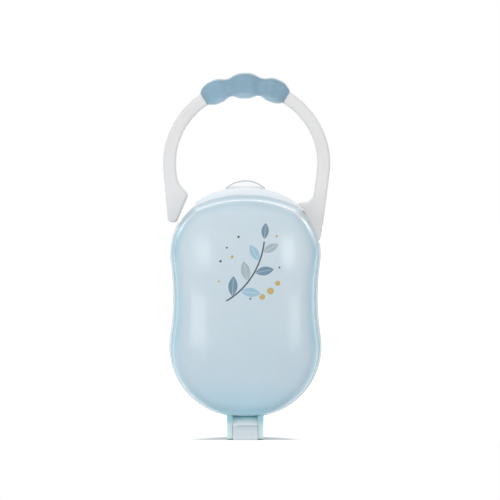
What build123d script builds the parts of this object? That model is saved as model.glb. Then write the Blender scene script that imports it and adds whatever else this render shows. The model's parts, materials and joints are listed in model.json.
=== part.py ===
from build123d import *
import os
from math import acos, atan2, cos, degrees, hypot, radians, sin, sqrt

# Two-lobed pacifier case with a front cover hinged at the foot, a thumb latch behind the
# top brow and a carrying handle that swings open on a pin in the right shoulder.
# Millimetres, +Z up, front towards -Y. The shells part on the plane Y = 0, and the origin
# is on the flat of the foot, on the centre line of the case.

# Outline of the case, seen from the front
foot_height = 9.6  # table to the lowest point of the lower lobe
lower_r = 32.2
lower_x = 2.4  # each lobe is two arcs whose centres stand this far from the centre line
lobe_spacing = 42.1
upper_r = 28.4
upper_x = 5.8
waist_r = 109.0
brow_rise = 1.5  # top of the brow above the upper arcs

# Shells
shell_depth = 24.0
shell_wall = 2.0
shell_draft = 3.0
shell_edge_r = 9.0
flange = 2.4
flange_lip = 2.0  # flange standing out from the wall behind it
cover_depth = 22.0
cover_wall = 1.8
cover_draft = 6.5
cover_edge_r = 8.0
cover_rim = 1.0  # flange showing round the cover
cover_ledge = 3.3  # brow showing above the cover
cover_top_r = 53.0
crown_across = 110.0
crown_up = 230.0
seat_gap = 0.1
tongue_gap = 0.15
tongue = 1.05
tongue_height = 2.0
divider = 1.6
divider_height = 9.0
divider_z = 62.5

# Cover hinge, and the foot that the case stands on
hinge_y = -1.5
hinge_drop = 4.9  # hinge below the lowest point of the lower lobe
knuckle_gap = 0.35
knuckle_width = 11.2
foot_width = 16.6
foot_back = 10.0
foot_root = 3.4  # foot let into the bottom wall of the shell
foot_edge_r = 1.5
knuckle_edge_r = 0.8
ear_corner_r = 1.6
ear_setback = 0.3  # fronts of the ears behind that of the knuckle
groove = 0.4
groove_depth = 0.3
groove_rise = 1.75
ear_lift = 0.2
ear_gap = 0.15
hinge_pin_r = 1.25

# Handle
handle_front = 2.7
handle_thick = 7.6
arm_width = 5.8
arm_edge_r = 1.4
handle_reach = 3.4  # handle standing out beyond the sides of the upper lobe
handle_rise = 10.2  # centre of the handle's bow above the brow
handle_shift = 0.6
free_arm_lean = 4.9
pivot_inset = 6.0  # pivot inside the outline of the right shoulder
pivot_turn = 25.6
open_turn = 70.0
boss_r = 8.6
boss_gap = 0.4
pocket_gap = 0.3
pocket_wall = 1.5
pivot_pin_r = 1.5
pivot_head_r = 1.9
pivot_head = 0.8
head_inset = 0.15
crotch_drop = 13.9
crotch_r = 5.0
toe_gap = 0.25
toe_r = 1.6
barb_gap = 0.9
barb_turn = 31.0
barb_drop = 1.4
barb_out = 5.3
barb_rise = 12.4
barb_root = 5.5
barb_root_r = 8.0
barb_nose_r = 1.7
barb_end_r = 1.9
left_shoulder = (29.5, 53.3)
right_shoulder = (10.0, 44.0)

# Soft grip moulded on the handle's bow
grip_turn = 91.3
grip_half = 32.0
grip_stations = 12
grip_offset = 0.4
grip_mean_r = 4.95
grip_swell = 0.75
grip_round = 0.55  # fullness of the lobes beyond a plain wave
grip_pitch = 23.2
grip_cap = 10.6  # turn over which an end lobe closes in
grip_fall = 0.02
grip_extra = 0.9  # half thickness front to back, beyond that seen from the front
grip_corner = 0.62
grip_end_r = 0.6
core_width = 4.2
core_thick = 5.8
core_r = 1.2

# Thumb latch
button_r = 13.0
button_rise = 2.9
button_width = 17.8
button_thick = 3.0
button_edge_r = 0.8
recess_wall = 1.2
latch_travel = 2.0
latch_play = 0.2
latch_gap = 0.4
stem_width = 4.0
stem_thick = 2.0
stem_inset = 0.5
hook_width = 6.0
hook_thick = 2.8
hook_drop = 2.1
collar_drop = 0.7
nose_thick = 1.4
nose_ramp = 1.0
catch_thick = 1.2
catch_bite = 1.1
cage_wall = 1.3
cage_gap = 0.6
spring_length = 6.0
spring_r = 1.8
spring_wire = 0.5
spring_turns = 5

run_fit = 0.05
press_fit = 0.01
end_gap = 0.02

# Centres of the outline's arcs
lower_z = foot_height + lower_r
upper_z = lower_z + lobe_spacing
brow_top = upper_z + upper_r + brow_rise
brow_r = (upper_x**2 + (upper_z - brow_top) ** 2 - upper_r**2) / (2 * brow_rise)
brow_z = brow_top - brow_r
brow_turn = degrees(atan2(upper_z - brow_z, upper_x))
span_x = upper_x - lower_x
span = hypot(span_x, lobe_spacing)
along = ((lower_r + waist_r) ** 2 - (upper_r + waist_r) ** 2 + span**2) / (2 * span)
across = sqrt((lower_r + waist_r) ** 2 - along**2)
waist_x = lower_x + (along * span_x + across * lobe_spacing) / span
waist_z = lower_z + (along * lobe_spacing - across * span_x) / span
low_turn = degrees(atan2(waist_z - lower_z, waist_x - lower_x))
high_turn = degrees(atan2(waist_z - upper_z, waist_x - upper_x))

cover_top = brow_top - cover_ledge
tongue_inset = cover_wall + tongue_gap
cavity_inset = tongue_inset + tongue
cavity_top = cover_top - cavity_inset


def outline(inset, depth=0.0):
    """Outline of the case drawn in by an inset, at a depth in front of the parting plane."""
    with BuildSketch(Plane.XZ.offset(depth)) as face:
        with BuildLine():
            floor = lower_z - lower_r + inset
            Line((0, floor), (lower_x, floor))
            CenterArc((lower_x, lower_z), lower_r - inset, -90, low_turn + 90)
            CenterArc((waist_x, waist_z), waist_r + inset, low_turn + 180, high_turn - low_turn)
            CenterArc((upper_x, upper_z), upper_r - inset, high_turn, brow_turn - high_turn)
            CenterArc((0, brow_z), brow_r - inset, brow_turn, 90 - brow_turn)
            mirror(about=Plane.YZ)
        make_face()
    return face.sketch


def cover_outline(inset, depth=0.0):
    """The cover's outline: the case's, less the rim, with a flatter top under the brow."""
    with BuildSketch(Plane.XZ.offset(depth)) as cap:
        with Locations((0, cover_top - cover_top_r)):
            Circle(cover_top_r - inset)
        with Locations((0, (cover_top - cover_top_r) / 2)):
            Rectangle(2 * (cover_top_r - inset), cover_top - cover_top_r)
    return outline(cover_rim + inset, depth) & cap.sketch


def cover_blank(inset):
    """Drafted block with a crowned front and a rounded front edge, inset from the cover."""
    nose = cover_depth - inset
    reach = brow_top
    middle = (foot_height + cover_top) / 2
    sag = crown_up - inset - sqrt((crown_up - inset) ** 2 - reach**2)
    axis_y = crown_across - cover_depth
    with BuildPart() as blank:
        extrude(cover_outline(inset, seat_gap), amount=cover_depth, taper=cover_draft)
        with BuildSketch(Plane.YZ):
            with BuildLine():
                crown = ThreePointArc(
                    (sag - nose, middle - reach), (-nose, middle), (sag - nose, middle + reach)
                )
                Polyline(crown @ 1, (axis_y, middle + reach), (axis_y, middle - reach), crown @ 0)
            make_face()
        revolve(axis=Axis((0, axis_y, 0), (0, 0, 1)), mode=Mode.INTERSECT)
        fillet(blank.faces().sort_by(Axis.Y)[0].edges(), cover_edge_r - inset)
    return blank.part


def swept_back(face, depth, edge_r):
    """Block swept back from a face with the shell's draft and a rounded back edge."""
    with BuildPart() as blank:
        extrude(face, amount=-depth, taper=shell_draft)
        fillet(blank.faces().sort_by(Axis.Y)[-1].edges(), edge_r)
    return blank.part


def block(x, y, z):
    """Block between two limits along each axis."""
    sizes = [high - low for low, high in (x, y, z)]
    centre = [(low + high) / 2 for low, high in (x, y, z)]
    return Pos(*centre) * Box(*sizes, mode=Mode.PRIVATE)


def drum(radius, centre, front, back):
    """Cylinder along Y between two depths."""
    place = Plane(origin=(centre.X, front, centre.Y), z_dir=(0, 1, 0))
    upright = (Align.CENTER, Align.CENTER, Align.MIN)
    return place * Cylinder(radius, back - front, align=upright, mode=Mode.PRIVATE)


def rod(radius, length):
    """Cylinder on the cover's hinge line, centred on the case's centre line."""
    place = Plane(origin=(0, hinge_y, hinge_z), z_dir=(1, 0, 0))
    return place * Cylinder(radius, length, mode=Mode.PRIVATE)


def way(turn):
    """Unit vector in the X-Z plane, turned up from +X."""
    return Vector(cos(radians(turn)), sin(radians(turn)))


def bow_plane(turn, radius):
    """Plane across the handle's bow, its X axis outwards and its Y axis to the back."""
    place = bow + way(turn) * radius
    side = way(turn + 90)
    return Plane(
        origin=(place.X, handle_mid, place.Y),
        x_dir=(side.Y, 0, -side.X),
        z_dir=(side.X, 0, side.Y),
    )


def bow_core(fit):
    """Core of the bow under the grip, enlarged all round by a fit."""
    with BuildPart() as core:
        with BuildSketch(bow_plane(grip_turn - grip_half, bow_r - arm_width / 2)):
            RectangleRounded(core_width + 2 * fit, core_thick + 2 * fit, core_r + fit)
        revolve(axis=Axis((bow.X, 0, bow.Y), (0, -1, 0)), revolution_arc=2 * grip_half)
    return core.part


# Places in the X-Z plane
lobe_right = Vector(upper_x, upper_z)
lobe_left = Vector(-upper_x, upper_z)
pivot = lobe_right + way(pivot_turn) * (upper_r - pivot_inset)
bow = Vector(handle_shift, brow_top + handle_rise)
bow_r = upper_x + upper_r + handle_reach
reach_turn = degrees(acos((bow_r - boss_r) / (pivot - bow).length))
pivot_arm_lean = degrees(atan2(bow.Y - pivot.Y, pivot.X - bow.X)) - reach_turn
right_out = way(-pivot_arm_lean)
right_down = way(-pivot_arm_lean - 90)
left_out = way(180 + free_arm_lean)
left_down = way(free_arm_lean - 90)
crotch = bow + right_out * (bow_r - arm_width) + right_down * crotch_drop
barb_end = lobe_left + way(180 - barb_turn) * (upper_r + barb_gap) - Vector(0, barb_drop)
barb_nose = barb_end + Vector(barb_out, barb_rise)
barb_crook = bow + left_out * (bow_r - arm_width) + left_down * barb_root
free_arm_length = ((bow + left_out * bow_r).Y - barb_end.Y) / cos(radians(free_arm_lean))
free_arm_end = bow + left_out * bow_r + left_down * free_arm_length

# Depths and heights
handle_back = handle_front + handle_thick
handle_mid = handle_front + handle_thick / 2
pocket_back = handle_back + pocket_gap
hinge_z = foot_height - hinge_drop
knuckle_r = hinge_drop + cover_rim - knuckle_gap
ear_r = hinge_z - ear_lift
ear_in = knuckle_width / 2 + ear_gap
knuckle_front = hinge_y - knuckle_r
ear_front = knuckle_front + ear_setback
ear_sweep = hypot(hinge_y - ear_front - ear_corner_r, ear_r - ear_corner_r) + ear_corner_r
button_front = flange + pocket_gap
button_back = button_front + button_thick
stem_front = button_front + stem_inset
stem_back = stem_front + stem_thick
stem_mid = (stem_front + stem_back) / 2
recess_floor = cavity_top + recess_wall
button_floor = recess_floor + latch_travel + latch_play
hook_back = button_back + pocket_gap
hook_top = cavity_top - hook_drop
hook_floor = hook_top - hook_thick
collar_top = cavity_top - collar_drop
catch_back = -tongue_height - latch_gap
catch_front = catch_back - catch_thick
nose_back = catch_front - latch_gap
nose_front = nose_back - nose_thick
nose_top = cavity_top + end_gap
shelf_top = hook_floor - spring_length
web_front = hook_back + cage_gap
cheek_in = hook_width / 2 + latch_play
cheek_out = cheek_in + cage_wall

with BuildPart() as foot:
    with BuildSketch(Plane.YZ) as knuckle:
        with Locations((hinge_y, hinge_z)):
            Circle(knuckle_r)
        Polygon(
            (knuckle_front, 0),
            (foot_back, 0),
            (foot_back, foot_height + foot_root),
            (0, foot_height + foot_root),
            (0, hinge_z + knuckle_r),
            (hinge_y, hinge_z + knuckle_r),
            (hinge_y, hinge_z),
            (knuckle_front, hinge_z),
        )
        with Locations((hinge_y, -knuckle_r)):
            Rectangle(4 * knuckle_r, 2 * knuckle_r, mode=Mode.SUBTRACT)
        fillet(knuckle.vertices().sort_by_distance((knuckle_front, 0))[0], knuckle_edge_r)
    extrude(amount=knuckle_width / 2, both=True)
    add(
        block(
            (-foot_width / 2, foot_width / 2),
            (hinge_y + ear_sweep + ear_gap * 2, foot_back),
            (0, foot_height + foot_root),
        )
    )
    fillet(foot.edges().filter_by(Axis.Z).group_by(Axis.Y)[-1], foot_edge_r)
    add(
        block(
            (-knuckle_width, knuckle_width),
            (knuckle_front - knuckle_r, knuckle_front + groove_depth),
            (hinge_z + groove_rise - groove / 2, hinge_z + groove_rise + groove / 2),
        ),
        mode=Mode.SUBTRACT,
    )

with BuildPart() as casing:
    extrude(outline(0), amount=-flange)
    with BuildSketch(Plane.XZ):
        for centre, side, (low, high) in (
            (lobe_right, 1, right_shoulder),
            (lobe_left, -1, left_shoulder),
        ):
            low_way = way(90 - side * (90 - low))
            high_way = way(90 - side * (90 - high))
            Polygon(centre, centre + low_way * 2 * upper_r, centre + high_way * 2 * upper_r)
        with Locations(lobe_right, lobe_left):
            Circle(upper_r - cover_rim, mode=Mode.SUBTRACT)
    extrude(amount=-flange, mode=Mode.SUBTRACT)
    add(swept_back(outline(flange_lip, -flange), shell_depth - flange, shell_edge_r))

pocket_drum = drum(boss_r + boss_gap + pocket_wall, pivot, 0, pocket_back + pocket_wall)
rib = block(
    (-lower_r - lower_x, lower_r + lower_x),
    (shell_depth - shell_wall - divider_height, shell_depth - shell_wall / 2),
    (divider_z - divider / 2, divider_z + divider / 2),
)
within = casing.part & (pocket_drum + rib)

with BuildPart() as back_shell:
    add(casing.part)
    extrude(cover_outline(tongue_inset), amount=tongue_height, taper=cover_draft)
    add(
        swept_back(
            cover_outline(cavity_inset, tongue_height),
            tongue_height + shell_depth - shell_wall,
            shell_edge_r - shell_wall,
        ),
        mode=Mode.SUBTRACT,
    )
    add(foot.part)
    add(within)

    # Cage that guides the latch and holds its spring
    cage_width = (-cheek_out, cheek_out)
    cage_depth = (flange, web_front + cage_wall)
    cage_height = (shelf_top - cage_wall, nose_top)
    add(block((cheek_in, cheek_out), cage_depth, cage_height))
    add(block((-cheek_out, -cheek_in), cage_depth, cage_height))
    add(block(cage_width, (web_front, web_front + cage_wall), cage_height))
    add(block(cage_width, cage_depth, (shelf_top - cage_wall, shelf_top)))

    # Pocket of the handle's boss; its mouth ends parallel to the fully open arm
    with BuildSketch(Plane.XZ.offset(-flange)):
        with Locations(pivot):
            Circle(boss_r + boss_gap)
        mouth = way(-pivot_arm_lean - open_turn)
        mouth_way = way(90 - pivot_arm_lean - open_turn)
        corner = pivot + mouth * (boss_r + boss_gap)
        Polygon(pivot, corner, corner + mouth_way * 2 * boss_r, pivot + mouth_way * 2 * boss_r)
    extrude(amount=-(pocket_back - flange), mode=Mode.SUBTRACT)
    add(drum(pivot_pin_r + press_fit, pivot, 0, pocket_back + pocket_wall), mode=Mode.SUBTRACT)
    head_floor = head_inset + pivot_head + end_gap
    add(drum(pivot_head_r + run_fit, pivot, 0, head_floor), mode=Mode.SUBTRACT)

    # Recess of the latch's button behind the brow, and the slot down to the cage
    button_side = button_width / 2 + pocket_gap
    add(
        block(
            (-button_side, button_side),
            (flange, button_back + pocket_gap),
            (recess_floor, brow_top + button_rise),
        ),
        mode=Mode.SUBTRACT,
    )
    stem_side = stem_width / 2 + latch_play
    add(
        block(
            (-stem_side, stem_side),
            (stem_front - latch_play, stem_back + latch_play),
            (hook_top, recess_floor),
        ),
        mode=Mode.SUBTRACT,
    )
    add(rod(hinge_pin_r + press_fit, 2 * foot_width), mode=Mode.SUBTRACT)

with BuildPart() as front_cover:
    add(cover_blank(0))
    with BuildSketch(Plane.YZ.offset(ear_in)) as ear:
        with Locations((hinge_y, hinge_z)):
            Circle(ear_r)
        Polygon(
            (ear_front, ear_lift),
            (hinge_y, ear_lift),
            (hinge_y, hinge_z),
            (-latch_gap, foot_height),
            (-latch_gap, foot_height + foot_root - latch_gap),
            (ear_front, foot_height + foot_root - latch_gap),
        )
        fillet(ear.vertices().sort_by_distance((ear_front, ear_lift))[0], ear_corner_r)
    extrude(amount=foot_width / 2 - ear_in)
    mirror(about=Plane.YZ)
    add(cover_blank(cover_wall), mode=Mode.SUBTRACT)
    add(
        block(
            (-hook_width / 2, hook_width / 2),
            (catch_front, catch_back),
            (nose_top - catch_bite, cover_top - cover_wall / 2),
        )
    )
    add(rod(hinge_pin_r + run_fit, 2 * foot_width), mode=Mode.SUBTRACT)

with BuildPart() as cover_hinge_pin:
    add(rod(hinge_pin_r, foot_width))
    chamfer(cover_hinge_pin.edges(), latch_play)

with BuildPart() as handle_arm:
    with BuildSketch(Plane.XZ.offset(-handle_front)) as arm:
        # Toe that rests on the shoulder when the handle is shut
        toe_x = lobe_right.X + pivot_inset
        Polygon(crotch, (toe_x, crotch.Y), (toe_x, pivot.Y), (crotch.X, pivot.Y))
        with Locations(lobe_right):
            Circle(upper_r - flange_lip + toe_gap, mode=Mode.SUBTRACT)
        toe_tip = arm.vertices().sort_by(Axis.X)[0]
        fillet(toe_tip, toe_r)
        with Locations(pivot):
            Circle(boss_r)
        Polygon(
            bow + right_out * bow_r,
            pivot + right_out * boss_r,
            pivot,
            crotch,
            bow + right_out * (bow_r - arm_width),
        )
        fillet(arm.vertices().sort_by_distance(crotch)[0], crotch_r)
        # Free arm with its barb over the left shoulder
        Polygon(
            bow + left_out * bow_r,
            free_arm_end,
            barb_end,
            barb_nose,
            barb_crook,
            bow + left_out * (bow_r - arm_width),
        )
        fillet(arm.vertices().sort_by_distance(free_arm_end)[0], barb_end_r)
        fillet(arm.vertices().sort_by_distance(barb_end)[0], barb_end_r)
        fillet(arm.vertices().sort_by_distance(barb_nose)[0], barb_nose_r)
        fillet(arm.vertices().sort_by_distance(barb_crook)[0], barb_root_r)
        with BuildSketch():
            with Locations(bow):
                Circle(bow_r)
                Circle(bow_r - arm_width, mode=Mode.SUBTRACT)
            Polygon(
                bow,
                bow + right_out * 2 * bow_r,
                bow + (right_out + right_down) * 2 * bow_r,
                bow + (left_out + left_down) * 2 * bow_r,
                bow + left_out * 2 * bow_r,
                mode=Mode.SUBTRACT,
            )
    extrude(amount=-handle_thick)
    faces = handle_arm.faces().sort_by(Axis.Y)
    fillet(faces[0].edges() + faces[-1].edges(), arm_edge_r)
    # Slimmer core under the grip
    with BuildSketch(Plane.XZ.offset(-handle_front)):
        Polygon(
            bow,
            bow + way(grip_turn - grip_half) * 2 * bow_r,
            bow + way(grip_turn) * 3 * bow_r,
            bow + way(grip_turn + grip_half) * 2 * bow_r,
        )
    extrude(amount=-handle_thick, mode=Mode.SUBTRACT)
    add(bow_core(0))
    add(drum(pivot_pin_r + run_fit, pivot, handle_front, handle_back), mode=Mode.SUBTRACT)

with BuildPart() as handle_grip:
    for station in range(-grip_stations, grip_stations + 1):
        turn = grip_half * station / grip_stations
        wave = min(abs(turn), grip_pitch)
        phase = radians(360 * wave / grip_pitch)
        swell = grip_swell * (cos(phase) + grip_round * sin(phase) ** 2)
        half = grip_mean_r + swell - grip_fall * wave
        half *= sqrt(1 - ((abs(turn) - wave) / grip_cap) ** 2)
        with BuildSketch(bow_plane(grip_turn + turn, bow_r - arm_width / 2 + grip_offset)):
            RectangleRounded(2 * half, 2 * (half + grip_extra), grip_corner * half)
    loft()
    fillet(handle_grip.faces().filter_by(GeomType.PLANE).edges(), grip_end_r)
    add(bow_core(end_gap), mode=Mode.SUBTRACT)

with BuildPart() as handle_pivot_pin:
    add(drum(pivot_pin_r, pivot, pivot_head / 2, pocket_back + pocket_wall))
    add(drum(pivot_head_r, pivot, head_inset, head_inset + pivot_head))

with BuildPart() as latch_button:
    with BuildSketch(Plane.XZ.offset(-button_front)):
        with Locations((0, brow_top + button_rise - button_r)):
            Circle(button_r)
        with Locations((0, button_floor + button_r)):
            Rectangle(button_width, 2 * button_r, mode=Mode.INTERSECT)
    extrude(amount=-button_thick)
    fillet(latch_button.edges().filter_by(GeomType.CIRCLE), button_edge_r)
    add(
        block(
            (-stem_width / 2, stem_width / 2),
            (stem_front, stem_back),
            (hook_floor, button_floor + button_edge_r),
        )
    )

with BuildPart() as latch_hook:
    with BuildSketch(Plane.YZ):
        Polygon(
            (nose_front, hook_floor),
            (hook_back, hook_floor),
            (hook_back, collar_top),
            (button_front, collar_top),
            (button_front, hook_top),
            (nose_back, hook_top),
            (nose_back, nose_top),
            (nose_back - latch_gap, nose_top),
            (nose_front, nose_top - nose_ramp),
        )
    extrude(amount=hook_width / 2, both=True)
    slot_side = stem_width / 2 + end_gap
    add(
        block(
            (-slot_side, slot_side),
            (stem_front - end_gap, stem_back + end_gap),
            (hook_floor, collar_top),
        ),
        mode=Mode.SUBTRACT,
    )

with BuildPart() as latch_spring:
    coil_height = spring_length - spring_wire - 2 * end_gap
    coil_floor = shelf_top + end_gap + spring_wire / 2
    with BuildLine() as coil:
        Helix(coil_height / spring_turns, coil_height, spring_r, center=(0, stem_mid, coil_floor))
    with BuildSketch(Plane(origin=coil.line @ 0, z_dir=coil.line % 0)):
        Circle(spring_wire / 2)
    sweep(is_frenet=True)

os.makedirs("parts", exist_ok=True)
back_shell.part.label = "back_shell"
export_step(back_shell.part, "parts/back_shell.step")
front_cover.part.label = "front_cover"
export_step(front_cover.part, "parts/front_cover.step")
cover_hinge_pin.part.label = "cover_hinge_pin"
export_step(cover_hinge_pin.part, "parts/cover_hinge_pin.step")
handle_arm.part.label = "handle_arm"
export_step(handle_arm.part, "parts/handle_arm.step")
handle_grip.part.label = "handle_grip"
export_step(handle_grip.part, "parts/handle_grip.step")
handle_pivot_pin.part.label = "handle_pivot_pin"
export_step(handle_pivot_pin.part, "parts/handle_pivot_pin.step")
latch_button.part.label = "latch_button"
export_step(latch_button.part, "parts/latch_button.step")
latch_hook.part.label = "latch_hook"
export_step(latch_hook.part, "parts/latch_hook.step")
latch_spring.part.label = "latch_spring"
export_step(latch_spring.part, "parts/latch_spring.step")
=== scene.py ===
import json
from math import cos, pi, radians, sin

import bpy
from bpy.props import FloatProperty, FloatVectorProperty, IntProperty, PointerProperty
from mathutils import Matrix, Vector


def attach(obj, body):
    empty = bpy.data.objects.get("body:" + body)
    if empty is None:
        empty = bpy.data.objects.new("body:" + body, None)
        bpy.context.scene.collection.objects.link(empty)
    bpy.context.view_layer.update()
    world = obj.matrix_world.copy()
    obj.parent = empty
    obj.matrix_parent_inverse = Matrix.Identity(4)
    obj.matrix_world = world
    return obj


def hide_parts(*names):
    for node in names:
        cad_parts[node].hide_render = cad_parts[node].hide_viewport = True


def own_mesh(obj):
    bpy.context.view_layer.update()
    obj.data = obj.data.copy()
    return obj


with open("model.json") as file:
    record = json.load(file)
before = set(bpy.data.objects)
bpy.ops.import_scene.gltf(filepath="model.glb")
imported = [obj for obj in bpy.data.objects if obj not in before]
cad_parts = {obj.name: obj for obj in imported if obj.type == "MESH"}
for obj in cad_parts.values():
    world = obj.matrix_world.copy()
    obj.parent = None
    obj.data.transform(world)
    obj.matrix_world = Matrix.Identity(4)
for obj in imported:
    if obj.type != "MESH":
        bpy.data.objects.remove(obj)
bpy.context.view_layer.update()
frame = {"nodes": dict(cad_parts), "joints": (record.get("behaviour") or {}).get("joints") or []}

bl_info = {
    "name": "Pacifier Case",
    "version": (1, 0, 0),
    "blender": (4, 5, 0),
    "location": "View3D > Sidebar > Case",
    "description": "Finishes a two-lobed pacifier case: shells, printed cover, handle, soft grip and studio",
    "category": "Object",
}

NODES = frame["nodes"]
PRESS = next(joint for joint in frame["joints"] if joint["name"] == "latch_press")
MM = 0.001


def box(name):
    """Lowest and highest corner of a CAD node."""
    along = list(zip(*NODES[name].bound_box))
    return Vector([min(values) for values in along]), Vector([max(values) for values in along])


COVER_LOW, COVER_HIGH = box("front_cover")
BUTTON_LOW, BUTTON_HIGH = box("latch_button")
SPRING_LOW, SPRING_HIGH = box("latch_spring")
SPRING_SHELF = PRESS["deforming_nodes"][0]["fixed_end_z_m"]

WHITE = (1.0, 1.0, 1.0)
DRIFT_SPAN = (0.3, 0.7)  # stretch of a noise mask over which a colour drifts

# Inputs of the moulded skin for each finish; the grain's scale is in cells per metre
SHELL_SKIN = {"Grain Scale": 1666.7, "Grain Height": 0.01 * MM,
              "Roughness Low": 0.24, "Roughness High": 0.40}
BUTTON_SKIN = {"Grain Scale": 1500.0, "Grain Height": 0.005 * MM,
               "Roughness Low": 0.12, "Roughness High": 0.22}
COVER_SKIN = {"Grain Scale": 1500.0, "Grain Height": 0.004 * MM,
              "Roughness Low": 0.10, "Roughness High": 0.17}
ARM_SKIN = {"Grain Scale": 1400.0, "Grain Height": 0.01 * MM,
            "Roughness Low": 0.26, "Roughness High": 0.38}
GRIP_SKIN = {"Grain Scale": 2200.0, "Grain Height": 0.012 * MM,
             "Roughness Low": 0.22, "Roughness High": 0.34}

# Inputs of the surface shader for each finish
WHITE_PLASTIC = {"IOR": 1.5, "Subsurface Weight": 0.15, "Subsurface Radius": (0.004, 0.0045, 0.005),
                 "Subsurface Scale": 1.0}
CLEAR_PLASTIC = {"IOR": 1.49, "Coat Weight": 0.2}
BLUE_PLASTIC = {"IOR": 1.49, "Subsurface Weight": 0.45, "Subsurface Radius": (0.003, 0.005, 0.006),
                "Subsurface Scale": 1.0, "Coat Weight": 0.15, "Coat Roughness": 0.12}
SATIN_PLASTIC = {"IOR": 1.5}
SOFT_RUBBER = {"IOR": 1.45, "Sheen Weight": 0.15, "Sheen Roughness": 0.4}
STEEL = {"Metallic": 1.0}


# Settings

def colour(name, description, value):
    return FloatVectorProperty(name=name, description=description, subtype="COLOR", size=3, min=0.0, max=1.0,
                               default=value)


def length(name, description, value):
    return FloatProperty(name=name, description=description, default=value, unit="LENGTH")


def share(name, description, value):
    return FloatProperty(name=name, description=description, subtype="FACTOR", min=0.0, max=1.0,
                         default=value)


def span(name, description, first, last):
    return FloatVectorProperty(name=name, description=description, default=(first, last), size=2)


def fade(name, description, bare, full):
    """Two places: what the description names sets in at the first and is complete at the second."""
    return FloatVectorProperty(name=name, description=description, unit="LENGTH", size=2,
                               default=(bare, full))


def watts(name, description, value):
    return FloatProperty(name=name, description=description, default=value, unit="POWER")


class CaseShellSettings(bpy.types.PropertyGroup):
    white: colour("Shell white", "Colour of the moulded back shell", (0.86, 0.87, 0.88))
    drift: span("White drift", "Darkest and lightest share of the white across the flow marks", 0.985, 1.01)
    shade: colour("Shell shade", "Colour of the shell deep inside", (0.74, 0.81, 0.85))
    shade_depth: fade("Shade depth", "Where the inner shade sets in behind the parting plane", 0.004, 0.020)
    shade_share: share("Shade share", "How far the inside turns to its shade", 0.35)
    rim: colour("Rim tint", "Shade of the flange that shows round the cover", (0.88, 0.905, 0.92))
    rim_depth: fade("Rim depth", "Where the rim's tint sets in towards the parting plane", 0.0012, 0.0004)
    rim_top: fade("Rim top", "Where the rim's tint sets in below the brow", 0.108, 0.100)
    brow: colour("Brow tint", "Pale blue of the brow where the cover closes on it", (0.925, 0.945, 0.975))
    brow_upper: fade("Brow upper edge", "Where the brow's tint sets in above the cover's top", 0.005, 0.003)
    brow_lower: fade("Brow lower edge", "Where the brow's tint sets in under the cover's top", -0.012, -0.004)
    brow_depth: fade("Brow depth", "Where the brow's tint sets in towards the parting plane", 0.0015, 0.0005)
    brow_height: fade("Brow height", "Where the brow's tint sets in on the way up", 0.102, 0.107)
    brow_share: share("Brow share", "How far the brow turns to its tint", 0.8)
    cover_top: length("Cover top", "Height of the cover's top edge under the brow", COVER_HIGH.z)
    cover_top_r: length("Cover top radius", "Radius of the cover's top edge", 0.053)
    knuckle: colour("Knuckle tint", "Shade of the hinge knuckle and the foot", (0.61, 0.69, 0.735))
    knuckle_top: colour("Knuckle top tint", "Shade of the top of the knuckle", (0.99, 1.0, 1.0))
    knuckle_edge: fade("Knuckle edge", "Height at which the knuckle's top begins", 0.0062, 0.0068)
    glow: colour("Glow tint", "Blue light that the cover throws on the top of the knuckle", (0.72, 0.96, 1.0))
    glow_height: fade("Glow height", "Height at which the blue light begins", 0.0086, 0.0096)
    groove: colour("Groove tint", "Shade of the groove across the knuckle", (0.40, 0.52, 0.58))
    groove_z: length("Groove height", "Height of the groove across the knuckle", 0.00645)
    groove_width: fade("Groove width", "Where the groove's tint sets in beside its middle", 0.00032, 0.00016)
    groove_end: fade("Groove end", "Where the groove begins, from left to right", -0.0045, -0.0030)
    foot_top: fade("Foot top", "Where the foot's tint sets in below the lobes", 0.0112, 0.0098)
    foot_depth: fade("Foot depth", "Where the foot's tint sets in towards the parting plane", 0.006, 0.0)
    foot_share: share("Foot share", "How far the foot and the knuckle turn to their tints", 0.9)


class CaseButtonSettings(bpy.types.PropertyGroup):
    white: colour("Button white", "Colour of the latch's button", (0.99, 0.995, 1.0))
    drift: span("White drift", "Darkest and lightest share of the white across the flow marks", 0.985, 1.0)
    rim: colour("Button rim", "Grey of the button's rounded rim", (0.50, 0.56, 0.57))
    top: length("Button top", "Height of the top of the button's arch", BUTTON_HIGH.z)
    arch_r: length("Arch radius", "Radius of the button's arch", 0.013)
    front: length("Button front", "How far the button's face stands behind the parting plane", BUTTON_LOW.y)
    rim_inset: fade("Rim inset", "Where the rim's grey sets in inside the arch", 0.00075, 0.0003)
    rim_depth: fade("Rim depth", "Where the rim's grey sets in towards the front face", 0.0009, 0.0006)
    shadow: fade("Shadow", "Where the brow's shadow sets in below the top of the arch", 0.0022, 0.0034)
    shadow_share: share("Shadow share", "How far the shadow turns the button to the rim's grey", 0.35)


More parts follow.
